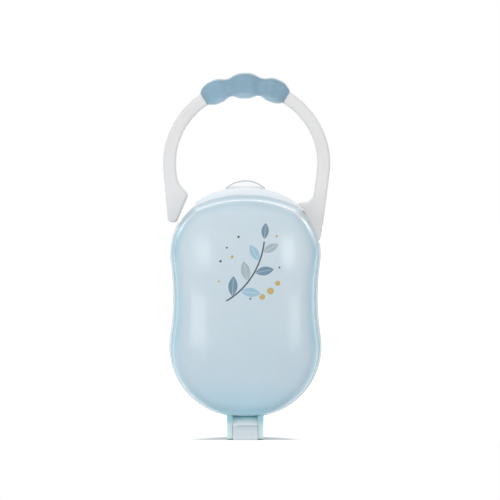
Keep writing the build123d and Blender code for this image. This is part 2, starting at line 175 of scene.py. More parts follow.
class CaseCoverSettings(bpy.types.PropertyGroup):
    crown_front: length("Crown", "Depth of the crown in front of the parting plane", -COVER_LOW.y)
    crown_middle: length("Crown middle", "Height of the middle of the crown", 0.06005)
    crown_across: length("Crown across", "Radius of the crown from side to side", 0.11)
    crown_up: length("Crown up", "Radius of the crown from bottom to top", 0.23)
    face: colour("Cover face", "Colour of the cover where it is seen face on", (0.56, 0.672, 0.757))
    foot: colour("Cover foot", "Colour towards the bottom of the cover", (0.50, 0.645, 0.76))
    foot_height: fade("Foot height", "Where the colour of the bottom sets in on the way down", 0.075, 0.012)
    foot_share: share("Foot share", "How far the face turns to the colour of the bottom", 0.75)
    flow: span("Flow marks", "Stretch of the noise mask that shows as pale flow marks", 0.35, 0.7)
    flow_share: share("Flow share", "How far the flow marks turn the face white", 0.06)
    wall: colour("Cover wall", "Colour of the cover where its wall is seen edge on", (0.335, 0.59, 0.735))
    wall_depth: fade("Wall depth", "Where the wall's colour sets in behind the crowned front", 0.0, 0.0034)
    wall_top: fade("Wall top", "Where the wall's colour grows weaker on the way up", 0.090, 0.104)
    wall_top_share: share("Wall top share", "What stays of the wall's colour at the top", 0.45)
    wall_foot: fade("Wall foot", "Where the wall's colour spreads over the bottom", 0.031, 0.0125)
    wall_foot_share: share("Wall foot share", "How far the bottom turns to the wall's colour", 0.65)
    wall_share: share("Wall share", "How far the edge turns to the wall's colour", 0.95)
    band: colour("Shoulder band", "Band where the rounded shoulders gather light", (0.86, 0.94, 1.0))
    band_front: fade("Band front", "Where the band begins behind the crowned front", 0.0015, 0.0036)
    band_back: fade("Band back", "Where the band ends on the way back", 0.0098, 0.0062)
    band_bottom: fade("Band bottom", "Where the band sets in on the way up", 0.086, 0.096)
    band_side: fade("Band side", "Where the band grows stronger towards the right shoulder", 0.006, 0.024)
    band_share: span("Band share", "Strength of the band on the left and on the right shoulder", 0.30, 0.80)
    lip: colour("Cover lip", "Pale edge of the cover against the back shell", (0.74, 0.86, 0.91))
    lip_depth: fade("Lip depth", "Where the lip's colour sets in on the way back", -0.0035, -0.001)
    lip_share: share("Lip share", "How far the edge turns to the lip's colour", 0.6)
    hem_height: fade("Hem height", "Where the brighter bottom edge sets in on the way down", 0.0165, 0.0135)
    hem_tint: FloatProperty(name="Hem tint", description="Brightness of the bottom edge beside the wall's",
                            default=1.15)
    ear: colour("Hinge ears", "Colour of the thin hinge ears", (0.65, 0.83, 0.865))
    ear_height: fade("Ear height", "Where the ears' colour sets in on the way down", 0.0095, 0.0068)
    ear_top: colour("Ear tops", "Colour where the ears run into the cover", (0.40, 0.66, 0.71))
    ear_top_height: fade("Ear top height", "Where the colour of the ears' tops sets in", 0.0125, 0.0108)
    matt_depth: fade("Matt depth", "Where the wall grows matt behind the crowned front", 0.002, 0.007)
    matt_height: fade("Matt height", "Where the wall grows more matt on the way down", 0.104, 0.085)
    matt: span("Matt", "Roughness added to the wall at the top and lower down", 0.18, 0.42)


class CasePrintSettings(bpy.types.PropertyGroup):
    slate: colour("Slate blue", "Darker leaves of the print", (0.13, 0.24, 0.33))
    mist: colour("Mist grey", "Grey-blue leaves of the print", (0.36, 0.44, 0.48))
    sky: colour("Sky blue", "Light leaves of the print", (0.31, 0.50, 0.63))
    mustard: colour("Mustard", "Berries of the print", (0.51, 0.38, 0.12))
    navy: colour("Navy", "Stem and dots of the print", (0.03, 0.045, 0.06))
    depth: length("Print depth", "How far behind the crowned front the printed face ends", 0.0009)
    strength: share("Print strength", "How well the ink hides the plastic", 0.94)
    matt: share("Ink roughness", "Roughness that the ink adds", 0.12)
    centre_x: length("Centre X", "Sideways place of the print's centre", 0.0016)
    centre_z: length("Centre Z", "Height of the print's centre", 0.0810)
    stem_x: length("Stem centre X", "Sideways place of the stem's arc from the print's centre", -0.028)
    stem_z: length("Stem centre Z", "Height of the centre of the stem's arc above the print's", 0.014)
    stem_r: length("Stem curve", "Radius of the sprig's stem", 0.035)
    stem_width: fade("Stem width", "Where the ink of the stem sets in beside its middle", 0.0004, 0.00026)
    stem_foot: fade("Stem foot", "Where the stem begins, from the print's centre", -0.0162, -0.0159)
    stem_tip: fade("Stem tip", "Where the stem ends, from the print's centre", 0.0105, 0.0102)
    leaf: length("Leaf length", "Length of one leaf", 0.0092)
    leaf_width: share("Leaf width", "Width of a leaf as a share of its length", 0.46)
    leaf_gap: length("Leaf gap", "Bare gap between the stem's middle and a leaf", 0.0003)
    leaf_turn: FloatProperty(name="Leaf turn", description="Angle between the stem and a leaf beside it",
                             default=radians(50.0), subtype="ANGLE")
    rib: share("Rib", "How far a leaf's rib is paler than the leaf", 0.25)


class CaseHandleSettings(bpy.types.PropertyGroup):
    arm: colour("Handle white", "Colour of the carrying handle", (0.74, 0.735, 0.735))
    arm_drift: span("Arm drift", "Darkest and lightest share of the arm's white", 0.98, 1.01)
    grip: colour("Grip blue", "Colour of the soft grip", (0.235, 0.375, 0.475))
    grip_drift: span("Grip drift", "Darkest and lightest share of the grip's blue", 0.91, 1.09)
    grip_pale: colour("Grip pale blue", "Colour of the grip on the inside of the bow", (0.56, 0.75, 0.88))
    pale_inset: fade("Pale inset", "Where the pale blue sets in inside the bow's middle", 0.0015, 0.0058)
    pale_share: share("Pale share", "How far the inside of the bow turns pale", 0.75)
    bow_x: length("Bow centre X", "Sideways place of the centre of the handle's bow", 0.0006)
    bow_z: length("Bow centre Z", "Height of the centre of the handle's bow", 0.124)
    bow_r: length("Bow radius", "Radius of the bow along the middle of the grip", 0.0351)


class CaseSpringSettings(bpy.types.PropertyGroup):
    wire: length("Wire", "Thickness of the spring's wire", 0.0005)
    sides: IntProperty(name="Wire sides", description="Sides of the wire's round section", default=12)
    radius: length("Coil radius", "Radius of the coil along the middle of the wire", 0.0018)
    turns: IntProperty(name="Turns", description="Number of turns", default=5)
    steps: IntProperty(name="Steps", description="Steps in one turn", default=36)
    axis_y: length("Coil axis Y", "How far the coil's axis stands behind the parting plane",
                   (SPRING_LOW.y + SPRING_HIGH.y) / 2)
    shelf: length("Shelf height", "Height of the shelf that the spring stands on", SPRING_SHELF)
    span: length("Spring room", "Height between the shelf and the hook at rest", 0.006)
    travel: length("Travel", "How far the button presses the spring down", PRESS["range_m"][1])
    gap: length("End gap", "Clearance at each end of the spring", 0.00002)


class CaseMetalSettings(bpy.types.PropertyGroup):
    dark: colour("Dark steel", "Colour of the steel between its fine lines", (0.52, 0.53, 0.55))
    pale: colour("Pale steel", "Colour of the fine lines along the steel", (0.66, 0.67, 0.69))
    roughness: span("Steel roughness", "Lowest and highest roughness of the steel", 0.18, 0.36)


class CaseStageSettings(bpy.types.PropertyGroup):
    floor: colour("Floor", "Colour of the floor where it is in shadow", (0.86, 0.838, 0.828))
    floor_width: length("Floor width", "Width of the floor", 1.6)
    floor_depth: length("Floor depth", "Depth of the floor", 1.0)
    floor_front: length("Floor front", "Where the floor ends in front of the foot", -0.0075)
    front_fade: length("Front fade", "Width of the strip over which the shadow ends at the front", 0.0016)
    shadow_y: length("Shadow Y", "Place of the middle of the shadow on the floor", -0.0075)
    shadow_across: length("Shadow across", "How far the shadow reaches sideways from its middle", 0.034)
    shadow_along: length("Shadow along", "How far the shadow reaches forwards and back", 0.0140)
    shadow_edge: span("Shadow edge", "Where the shadow starts to fade and ends, as shares of it", 0.6, 1.05)
    distance: length("Camera distance", "Distance of the camera from the case", 1.6)
    elevation: FloatProperty(name="Camera elevation", description="Angle of the camera above level",
                             default=radians(6.0), subtype="ANGLE")
    aim_x: length("Aim X", "Sideways place of the middle of the picture", 0.0021)
    aim_z: length("Aim Z", "Height of the middle of the picture", 0.0855)
    view_width: length("View width", "Width of the picture at the case", 0.225)
    light_aim: length("Light aim", "Height at which the lights aim", 0.075)
    key: watts("Key light", "Power of the large light above the front", 5.5)
    side: watts("Side lights", "Power of the tall lights at the sides", 2.15)
    low: watts("Low light", "Power of the light below the front", 1.6)
    top: watts("Top light", "Power of the light straight above", 1.2)
    rim: watts("Rim light", "Power of the wide lights behind and above", 1.9)
    gleam: watts("Gleams", "Power of the softboxes that the cover mirrors", 0.25)
    gleam_distance: length("Gleam distance", "Distance of those softboxes from the case", 1.2)
    room: colour("Room tint", "Tint of the white room's light", (0.96, 0.98, 1.0))
    ambient: FloatProperty(name="Ambient", description="Level of the white room's light", default=0.43)


# Node helpers

class Graph:
    """Short way to place and join nodes in a material or a group."""

    def __init__(self, tree):
        self.tree = tree
        self.tree.nodes.clear()

    def node(self, kind, inputs=None, **settings):
        made = self.tree.nodes.new(kind)
        for key, value in settings.items():
            setattr(made, key, value)
        for key, value in (inputs or {}).items():
            self.feed(made.inputs[key], value)
        return made

    def feed(self, socket, value):
        if isinstance(value, bpy.types.NodeSocket):
            self.tree.links.new(value, socket)
        elif socket.type == "RGBA" and len(value) == 3:
            socket.default_value = (*value, 1.0)
        else:
            socket.default_value = value

    def math(self, operation, first, second=0.0, third=0.0, clamp=False):
        made = self.node("ShaderNodeMath", operation=operation, use_clamp=clamp)
        for socket, value in zip(made.inputs, (first, second, third)):
            self.feed(socket, value)
        return made.outputs[0]

    def product(self, first, *others):
        for other in others:
            first = self.math("MULTIPLY", first, other)
        return first

    def ramp(self, value, low, high, start=0.0, end=1.0):
        made = self.node(
            "ShaderNodeMapRange",
            {"Value": value, "From Min": low, "From Max": high, "To Min": start, "To Max": end},
            interpolation_type="SMOOTHSTEP",
        )
        return made.outputs["Result"]

    def mix(self, factor, first, second, share=1.0):
        """The first colour turned to the second by a factor, and by no more than a share."""
        made = self.node("ShaderNodeMix", data_type="RGBA")
        self.feed(made.inputs["Factor"], self.math("MULTIPLY", factor, share))
        self.feed(made.inputs[6], first)
        self.feed(made.inputs[7], second)
        return made.outputs[2]

    def axes(self, vector):
        return tuple(self.node("ShaderNodeSeparateXYZ", {"Vector": vector}).outputs)

    def flat(self, x, z):
        """A place as the front view shows it."""
        return self.node("ShaderNodeCombineXYZ", {"X": x, "Z": z}).outputs["Vector"]

    def distance(self, first, second):
        made = self.node("ShaderNodeVectorMath", {0: first, 1: second}, operation="DISTANCE")
        return made.outputs["Value"]

    def seen_rays(self):
        """Rays that show a surface, straight or in a gleam; the others only carry soft light."""
        rays = self.node("ShaderNodeLightPath").outputs
        bounced = self.math("MAXIMUM", rays["Is Glossy Ray"], rays["Is Transmission Ray"])
        return self.math("MAXIMUM", rays["Is Camera Ray"], bounced)


def group(name, inputs, outputs):
    """New shader node group with inputs {name: default}, a tuple for a vector, and outputs {name: kind}."""
    tree = bpy.data.node_groups.new(name, "ShaderNodeTree")
    graph = Graph(tree)
    for label, default in inputs.items():
        kind = "NodeSocketVector" if isinstance(default, tuple) else "NodeSocketFloat"
        socket = tree.interface.new_socket(label, in_out="INPUT", socket_type=kind)
        socket.default_value = default
    for label, kind in outputs.items():
        tree.interface.new_socket(label, in_out="OUTPUT", socket_type=kind)
    return tree, graph, graph.node("NodeGroupInput").outputs, graph.node("NodeGroupOutput").inputs


def moulded_skin():
    """Fine grain, soft flow marks and faint handling marks of injection-moulded plastic."""
    if "Moulded skin" in bpy.data.node_groups:
        return bpy.data.node_groups["Moulded skin"]
    marks_span = (0.52, 0.72)
    cloud_share, marks_share = 0.75, 0.35
    tree, graph, given, out = group(
        "Moulded skin",
        {"Position": (0.0, 0.0, 0.0), **SHELL_SKIN},
        {"Roughness": "NodeSocketFloat", "Cloud": "NodeSocketFloat", "Normal": "NodeSocketVector"},
    )
    grain = graph.node("ShaderNodeTexNoise", {"Vector": given["Position"], "Scale": given["Grain Scale"],
                                              "Detail": 3.0, "Roughness": 0.6})
    cloud = graph.node("ShaderNodeTexNoise", {"Vector": given["Position"], "Scale": 38.0, "Detail": 4.0,
                                              "Roughness": 0.55, "Distortion": 0.3})
    marks = graph.node("ShaderNodeTexNoise", {"Vector": given["Position"], "Scale": 210.0, "Detail": 2.0})
    handled = graph.ramp(marks.outputs["Fac"], *marks_span)
    level = graph.math("ADD", graph.product(cloud.outputs["Fac"], cloud_share),
                       graph.product(handled, marks_share), clamp=True)
    reach = graph.math("SUBTRACT", given["Roughness High"], given["Roughness Low"])
    graph.feed(out["Roughness"], graph.math("MULTIPLY_ADD", level, reach, given["Roughness Low"]))
    graph.feed(out["Cloud"], cloud.outputs["Fac"])
    bump = graph.node("ShaderNodeBump", {"Height": grain.outputs["Fac"], "Distance": given["Grain Height"],
                                         "Strength": 0.35})
    graph.feed(out["Normal"], bump.outputs["Normal"])
    return tree


def leaf_mark():
    """Printed leaf with pointed ends, and the paler rib along its middle."""
    # Shares of the leaf's half size
    soft_edge = 0.07
    rib_width = (0.13, 0.05)
    rib_end = (0.75, 0.6)
    tree, graph, given, out = group(
        "Leaf mark",
        {"Position": (0.0, 0.0, 0.0), "Place": (0.0, 0.0, 0.0), "Turn": (0.0, 0.0, 0.0),
         "Half Size": (1.0, 1.0, 1.0)},
        {"Leaf": "NodeSocketFloat", "Rib": "NodeSocketFloat"},
    )
    local = graph.node("ShaderNodeMapping", {"Vector": given["Position"], "Location": given["Place"],
                                             "Rotation": given["Turn"], "Scale": given["Half Size"]},
                       vector_type="TEXTURE")
    along, _, across = graph.axes(local.outputs["Vector"])
    side = graph.math("ABSOLUTE", across)
    taper = graph.math("SUBTRACT", 1.0, graph.product(along, along))
    graph.feed(out["Leaf"], graph.ramp(graph.math("SUBTRACT", taper, side), 0.0, soft_edge))
    graph.feed(out["Rib"], graph.product(graph.ramp(side, *rib_width), graph.ramp(along, *rib_end)))
    return tree


def dot_mark():
    """Printed round dot."""
    soft_edge = 0.14 * MM
    tree, graph, given, out = group(
        "Dot mark", {"Position": (0.0, 0.0, 0.0), "Place": (0.0, 0.0, 0.0), "Radius": MM},
        {"Dot": "NodeSocketFloat"},
    )
    inside = graph.math("SUBTRACT", given["Radius"], graph.distance(given["Position"], given["Place"]))
    graph.feed(out["Dot"], graph.ramp(inside, 0.0, soft_edge))
    return tree


def new_material(name, finish):
    """New material with one surface; gives it with its graph, the surface and the place on the object."""
    material = bpy.data.materials.new(name)
    material.use_nodes = True
    graph = Graph(material.node_tree)
    surface = graph.node("ShaderNodeBsdfPrincipled", finish)
    graph.node("ShaderNodeOutputMaterial", {"Surface": surface.outputs["BSDF"]})
    place = graph.node("ShaderNodeTexCoord").outputs["Object"]
    return material, graph, surface, place


def skin(graph, surface, place, inputs):
    """Places the moulded skin on a surface and gives its cloud mask."""
    made = graph.node("ShaderNodeGroup", {"Position": place, **inputs}, node_tree=moulded_skin()).outputs
    graph.feed(surface.inputs["Roughness"], made["Roughness"])
    graph.feed(surface.inputs["Normal"], made["Normal"])
    return made["Cloud"]


def tinted(value, factor):
    return tuple(min(1.0, channel * factor) for channel in value)


def drifting(graph, cloud, value, drift):
    """Colour that drifts between a darker and a lighter share of itself with the cloud mask."""
    darkest, lightest = drift
    return graph.mix(graph.ramp(cloud, *DRIFT_SPAN), tinted(value, darkest), tinted(value, lightest))


def drawn_steel():
    """Steel wire with fine lines along its drawing."""
    if "Drawn steel" in bpy.data.materials:
        return bpy.data.materials["Drawn steel"]
    settings = bpy.context.scene.case_metal
    material, graph, surface, place = new_material("Drawn steel", STEEL)
    stretched = graph.node("ShaderNodeMapping", {"Vector": place, "Scale": (60.0, 2400.0, 2400.0)})
    lines = graph.node("ShaderNodeTexNoise", {"Vector": stretched.outputs["Vector"], "Scale": 1.0,
                                              "Detail": 3.0}).outputs["Fac"]
    graph.feed(surface.inputs["Roughness"], graph.ramp(lines, *DRIFT_SPAN, *settings.roughness))
    graph.feed(surface.inputs["Base Color"], graph.mix(lines, settings.dark, settings.pale))
    bump = graph.node("ShaderNodeBump", {"Height": lines, "Distance": 0.008 * MM, "Strength": 0.3})
    graph.feed(surface.inputs["Normal"], bump.outputs["Normal"])
    return material


def paint(name, material):
    """Gives a CAD node one material."""
    data = NODES[name].data
    data.materials.clear()
    data.materials.append(material)


# Pieces

def knuckle_shade_and_light(graph, settings, x, z):
    """Colour of the foot and the hinge knuckle: painted shade on the sides, a painted bright top tinged with
    the blue light that the cover throws, and a painted shadow line in the groove between them.
    """
    tint = graph.mix(graph.ramp(z, *settings.knuckle_edge), settings.knuckle, settings.knuckle_top)
    tint = graph.mix(graph.ramp(z, *settings.glow_height), tint, settings.glow)
    beside = graph.math("ABSOLUTE", graph.math("SUBTRACT", z, settings.groove_z))
    line = graph.product(graph.ramp(beside, *settings.groove_width), graph.ramp(x, *settings.groove_end))
    return graph.mix(line, tint, settings.groove)


class CASE_OT_shell(bpy.types.Operator):
    """Finish the back shell, the latch's hook and the handle's pin in white moulded plastic"""
    bl_idname = "case.shell"
    bl_label = "Back Shell"

    def execute(self, context):
        settings = context.scene.case_shell
        material, graph, surface, place = new_material("White moulded plastic", WHITE_PLASTIC)
        cloud = skin(graph, surface, place, SHELL_SKIN)
        x, y, z = graph.axes(place)
        tint = drifting(graph, cloud, settings.white, settings.drift)
        # Painted shade: the shell turns darker and bluer deeper inside the hollow
        tint = graph.mix(graph.ramp(y, *settings.shade_depth), tint, settings.shade, settings.shade_share)
        # Painted light: the flange that shows round the cover is painted paler and bluer than the shell
        rim = graph.product(graph.ramp(y, *settings.rim_depth), graph.ramp(z, *settings.rim_top))
        tint = graph.mix(rim, tint, settings.rim)
        # Height above the arc of the cover's top edge
        square = graph.math("SUBTRACT", settings.cover_top_r**2, graph.product(x, x))
        centre_z = settings.cover_top - settings.cover_top_r
        above = graph.math("SUBTRACT", graph.math("SUBTRACT", z, centre_z), graph.math("SQRT", square))
        # Painted light: the brow is painted paler and bluer just above and under the cover's top edge
        brow = graph.product(
            graph.ramp(above, *settings.brow_upper), graph.ramp(above, *settings.brow_lower),
            graph.ramp(y, *settings.brow_depth), graph.ramp(z, *settings.brow_height),
        )
        tint = graph.mix(brow, tint, settings.brow, settings.brow_share)
        # Painted shade and painted light on the foot and the hinge knuckle below the lobes
        foot = graph.product(graph.ramp(z, *settings.foot_top), graph.ramp(y, *settings.foot_depth))
        tint = graph.mix(foot, tint, knuckle_shade_and_light(graph, settings, x, z), settings.foot_share)
        graph.feed(surface.inputs["Base Color"], tint)
        for name in ("back_shell", "latch_hook", "handle_pivot_pin"):
            paint(name, material)
        return {"FINISHED"}


class CASE_OT_button(bpy.types.Operator):
    """Finish the latch's button, with painted shade on its rounded rim and a painted shadow of the brow on
    its lower part
    """
    bl_idname = "case.button"
    bl_label = "Latch Button"

    def execute(self, context):
        settings = context.scene.case_button
        material, graph, surface, place = new_material("Translucent white plastic", CLEAR_PLASTIC)
        cloud = skin(graph, surface, place, BUTTON_SKIN)
        x, y, z = graph.axes(place)
        white = drifting(graph, cloud, settings.white, settings.drift)
        # Painted shade round the arch's rounded rim, and painted shadow of the brow low on the button
        away = graph.distance(graph.flat(x, z), (0.0, 0.0, settings.top - settings.arch_r))
        rim = graph.ramp(graph.math("SUBTRACT", settings.arch_r, away), *settings.rim_inset)
        shadow = graph.ramp(graph.math("SUBTRACT", settings.top, z), *settings.shadow)
        rim = graph.math("MAXIMUM", rim, graph.product(shadow, settings.shadow_share))
        behind = graph.math("SUBTRACT", y, settings.front)
        rim = graph.product(rim, graph.ramp(behind, *settings.rim_depth))
        graph.feed(surface.inputs["Base Color"], graph.mix(rim, white, settings.rim))
        paint("latch_button", material)
        return {"FINISHED"}


SPRIG = (  # angle along the stem's arc, side of the stem, tone, share of the full leaf
    (-54.0, 1, "slate", 1.0), (-47.0, -1, "sky", 1.0), (-38.0, 1, "mist", 1.0), (-30.0, -1, "slate", 0.95),
    (-21.0, 1, "sky", 0.9), (-14.0, -1, "mist", 0.85), (-5.0, 0, "slate", 0.8),
)
DOTS = (  # place from the print's centre and radius, in mm, and tone
    (9.6, -11.6, 1.6, "mustard"), (6.0, -14.2, 1.35, "mustard"), (12.8, -8.2, 1.25, "mustard"),
    (-12.6, 1.6, 0.62, "navy"), (-9.8, 7.6, 0.5, "navy"), (-4.6, 12.4, 0.62, "navy"),
    (13.6, -1.2, 0.5, "navy"), (0.6, -15.0, 0.5, "navy"), (-13.4, -7.4, 0.55, "mustard"),
    (-7.4, 3.6, 0.75, "mustard"), (12.4, 12.6, 0.6, "mustard"),
)


def sprig(graph, settings, x, z, colour_below):
    """Leaf sprig with berries and dots; gives its colours over those below, and where its ink is."""
    flat = graph.flat(x, z)
    centre = Vector((settings.centre_x, 0.0, settings.centre_z))
    middle = centre + Vector((settings.stem_x, 0.0, settings.stem_z))
    beside = graph.math("ABSOLUTE", graph.math("SUBTRACT", graph.distance(flat, middle), settings.stem_r))
    rise = graph.math("SUBTRACT", z, centre.z)
    ink = graph.product(graph.ramp(beside, *settings.stem_width), graph.ramp(rise, *settings.stem_foot),
                        graph.ramp(rise, *settings.stem_tip))
    printed = graph.mix(ink, colour_below, settings.navy)
    leaf, dot = leaf_mark(), dot_mark()
    for angle, side, tone, part in SPRIG:
        root = middle + settings.stem_r * Vector((cos(radians(angle)), 0.0, sin(radians(angle))))
        turn = radians(angle) + pi / 2 + side * settings.leaf_turn
        half = settings.leaf * part / 2
        place = root + (half + settings.leaf_gap) * Vector((cos(turn), 0.0, sin(turn)))
        size = (half, 1.0, half * settings.leaf_width)
        mark = graph.node("ShaderNodeGroup", {"Position": flat, "Place": place, "Turn": (0.0, -turn, 0.0),
                                              "Half Size": size}, node_tree=leaf).outputs
        shade = getattr(settings, tone)
        pale = tuple(channel + settings.rib * (1.0 - channel) for channel in shade)
        printed = graph.mix(mark["Leaf"], printed, graph.mix(mark["Rib"], shade, pale))
        ink = graph.math("MAXIMUM", ink, mark["Leaf"])
    for across, up, radius, tone in DOTS:
        place = centre + Vector((across, 0.0, up)) * MM
        mark = graph.node("ShaderNodeGroup", {"Position": flat, "Place": place, "Radius": radius * MM},
                          node_tree=dot).outputs
        printed = graph.mix(mark["Dot"], printed, getattr(settings, tone))
        ink = graph.math("MAXIMUM", ink, mark["Dot"])
    return printed, ink


def crown_depth(graph, settings, x, y, z):
    """Distance behind the crowned front, which grows round the edge and down the wall."""
    rise = graph.math("SUBTRACT", z, settings.crown_middle)
    across = graph.math("DIVIDE", graph.product(x, x), 2 * settings.crown_across)
    upward = graph.math("DIVIDE", graph.product(rise, rise), 2 * settings.crown_up)
    front = graph.math("ADD", y, settings.crown_front)
    return graph.math("SUBTRACT", front, graph.math("ADD", across, upward))


def cover_tint(graph, settings, cloud, x, y, z, behind):
    """Colour of the bare cover: face with painted shade towards the bottom, wall painted a deeper blue, a
    painted highlight on the shoulders, painted light on the lip and the bottom edge, and the hinge ears,
    paler, with painted shade at their tops.
    """
    # Painted shade: the face turns darker towards the bottom
    face = graph.mix(graph.ramp(z, *settings.foot_height), settings.face, settings.foot, settings.foot_share)
    face = graph.mix(graph.ramp(cloud, *settings.flow), face, WHITE, settings.flow_share)
    # Painted shade: the edge, where the wall is seen edge on, and the bottom turn a deeper, darker blue, less
    # so towards the top
    edge = graph.product(graph.ramp(behind, *settings.wall_depth),
                         graph.ramp(z, *settings.wall_top, 1.0, settings.wall_top_share))
    foot = graph.product(graph.ramp(z, *settings.wall_foot), settings.wall_foot_share)
    tint = graph.mix(graph.math("MAXIMUM", edge, foot), face, settings.wall, settings.wall_share)
    # Painted highlight along the cover's shoulders, stronger on the right
    band = graph.product(
        graph.ramp(behind, *settings.band_front), graph.ramp(behind, *settings.band_back),
        graph.ramp(z, *settings.band_bottom), graph.ramp(x, *settings.band_side, *settings.band_share),
    )
    tint = graph.mix(band, tint, settings.band)
    # Painted light: the cover's edge at the parting plane is painted pale where it meets the shell
    tint = graph.mix(graph.ramp(y, *settings.lip_depth), tint, settings.lip, settings.lip_share)
    # Painted light: the bottom edge, which lies in shade, is painted brighter than the wall
    tint = graph.mix(graph.ramp(z, *settings.hem_height), tint, tinted(settings.wall, settings.hem_tint))
    # Painted shade where the ears run into the cover; below it the ears turn paler, partly for their thin
    # plastic and partly as painted light
    tint = graph.mix(graph.ramp(z, *settings.ear_top_height), tint, settings.ear_top)
    return graph.mix(graph.ramp(z, *settings.ear_height), tint, settings.ear)


class CASE_OT_cover(bpy.types.Operator):
    """Finish the translucent front cover and print the sprig on its crown"""
    bl_idname = "case.cover"
    bl_label = "Front Cover"

    def execute(self, context):
        settings, ink_settings = context.scene.case_cover, context.scene.case_print
        material, graph, surface, place = new_material("Blue translucent plastic", BLUE_PLASTIC)
        cloud = skin(graph, surface, place, COVER_SKIN)
        x, y, z = graph.axes(place)
        behind = crown_depth(graph, settings, x, y, z)
        body = cover_tint(graph, settings, cloud, x, y, z, behind)
        printed, ink = sprig(graph, ink_settings, x, z, body)
        outer = graph.math("LESS_THAN", behind, ink_settings.depth)
        graph.feed(surface.inputs["Base Color"], graph.mix(outer, body, printed, ink_settings.strength))
        matt = graph.product(graph.ramp(behind, *settings.matt_depth),
                             graph.ramp(z, *settings.matt_height, *settings.matt))
        matt = graph.math("ADD", matt, graph.product(outer, ink, ink_settings.matt))
        smooth = surface.inputs["Roughness"].links[0].from_socket
        graph.feed(surface.inputs["Roughness"], graph.math("ADD", smooth, matt))
        paint("front_cover", material)
        return {"FINISHED"}


class CASE_OT_handle(bpy.types.Operator):
    """Finish the handle's arm"""
    bl_idname = "case.handle"
    bl_label = "Handle"

    def execute(self, context):
        settings = context.scene.case_handle
        material, graph, surface, place = new_material("Satin handle plastic", SATIN_PLASTIC)
        cloud = skin(graph, surface, place, ARM_SKIN)
        graph.feed(surface.inputs["Base Color"], drifting(graph, cloud, settings.arm, settings.arm_drift))
        paint("handle_arm", material)
        return {"FINISHED"}


class CASE_OT_grip(bpy.types.Operator):
    """Finish the soft grip on the handle's bow"""
    bl_idname = "case.grip"
    bl_label = "Soft Grip"

    def execute(self, context):
        settings = context.scene.case_handle
        material, graph, surface, place = new_material("Soft grip rubber", SOFT_RUBBER)
        cloud = skin(graph, surface, place, GRIP_SKIN)
        blue = drifting(graph, cloud, settings.grip, settings.grip_drift)
        # Painted light: the inside of the bow, which faces down, turns a paler blue for the light from below
        x, _, z = graph.axes(place)
        away = graph.distance(graph.flat(x, z), (settings.bow_x, 0.0, settings.bow_z))
        inner = graph.ramp(graph.math("SUBTRACT", settings.bow_r, away), *settings.pale_inset)
        tint = graph.mix(inner, blue, settings.grip_pale, settings.pale_share)
        graph.feed(surface.inputs["Base Color"], tint)
        paint("handle_grip", material)
        return {"FINISHED"}


class CASE_OT_spring(bpy.types.Operator):
    """Wind the latch's spring at its rest length and hang it on the shell"""
    bl_idname = "case.spring"
    bl_label = "Latch Spring"

    def execute(self, context):
        settings = context.scene.case_spring
        bpy.ops.mesh.primitive_circle_add(vertices=settings.sides, radius=settings.wire / 2,
                                          rotation=(pi / 2, 0.0, 0.0), location=(settings.radius, 0.0, 0.0))
        spring = context.object
        spring.name = "latch_coil"
        bpy.ops.object.transform_apply(location=True, rotation=True, scale=True)
        bpy.ops.object.modifier_add(type="SCREW")
        screw = spring.modifiers[-1]
        screw.screw_offset = (settings.span - 2 * settings.gap - settings.wire) / settings.turns
        screw.iterations = settings.turns
        screw.steps = screw.render_steps = settings.steps
        bpy.ops.object.modifier_apply(modifier=screw.name)
        spring.location = (0.0, settings.axis_y, settings.shelf + settings.gap + settings.wire / 2)
        bpy.ops.object.transform_apply(location=True, rotation=True, scale=True)
        bpy.ops.object.mode_set(mode="EDIT")
        bpy.ops.mesh.select_all(action="SELECT")
        bpy.ops.mesh.fill_holes(sides=0)
        bpy.ops.mesh.normals_make_consistent(inside=False)
        bpy.ops.object.mode_set(mode="OBJECT")
        bpy.ops.object.shade_auto_smooth(angle=radians(40.0))
        bpy.ops.object.convert(target="MESH")
        spring.data.materials.append(drawn_steel())
        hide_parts("latch_spring")
        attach(spring, "shell")
        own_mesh(spring)
        return {"FINISHED"}


class CASE_OT_metal(bpy.types.Operator):
    """Finish the hinge pin in drawn steel"""
    bl_idname = "case.metal"
    bl_label = "Hinge Pin"

    def execute(self, context):
        paint("cover_hinge_pin", drawn_steel())
        return {"FINISHED"}


# Stage

LIGHTS = (  # name, place, size, the setting with its power, and its share of that power
    ("key light", (-0.15, -0.9, 1.05), (0.9, 0.6), "key", 1.0),
    ("left light", (-0.85, -0.55, 0.25), (0.25, 0.9), "side", 1.2),
    ("right light", (0.85, -0.55, 0.25), (0.25, 0.9), "side", 0.8),
    ("low light", (0.0, -0.75, -0.45), (0.8, 0.3), "low", 1.0),
    ("top light", (0.0, -0.15, 1.30), (0.8, 0.6), "top", 1.0),
)
RIM_LIGHTS = (  # name, place, size and share of the rim lights' power
    ("top rim light", (-0.10, 1.0, 0.72), (1.5, 0.34), 1.0),
    ("left rim light", (-0.72, 1.0, 0.40), (0.50, 0.30), 0.35),
    ("right rim light", (0.66, 1.0, 0.50), (0.46, 0.36), 0.85),
)
GLEAMS = (  # name, turn and rise from the front in degrees, size and share of the gleams' power
    ("upper left gleam", -21.5, 7.5, (0.17, 0.15), 0.85),
    ("upper right gleam", 21.5, 7.5, (0.13, 0.15), 1.05),
    ("lower left gleam", -23.5, -10.0, (0.17, 0.28), 1.45),
    ("lower right gleam", 24.5, -10.0, (0.11, 0.28), 0.9),
)


def area_light(name, place, target, size, power, shape="RECTANGLE"):
    bpy.ops.object.light_add(type="AREA", location=place)
    lamp = bpy.context.object
    lamp.name = name
    lamp.data.shape = shape
    lamp.data.size, lamp.data.size_y = size
    lamp.data.energy = power
    lamp.rotation_euler = (target - lamp.location).to_track_quat("-Z", "Y").to_euler()
    return lamp


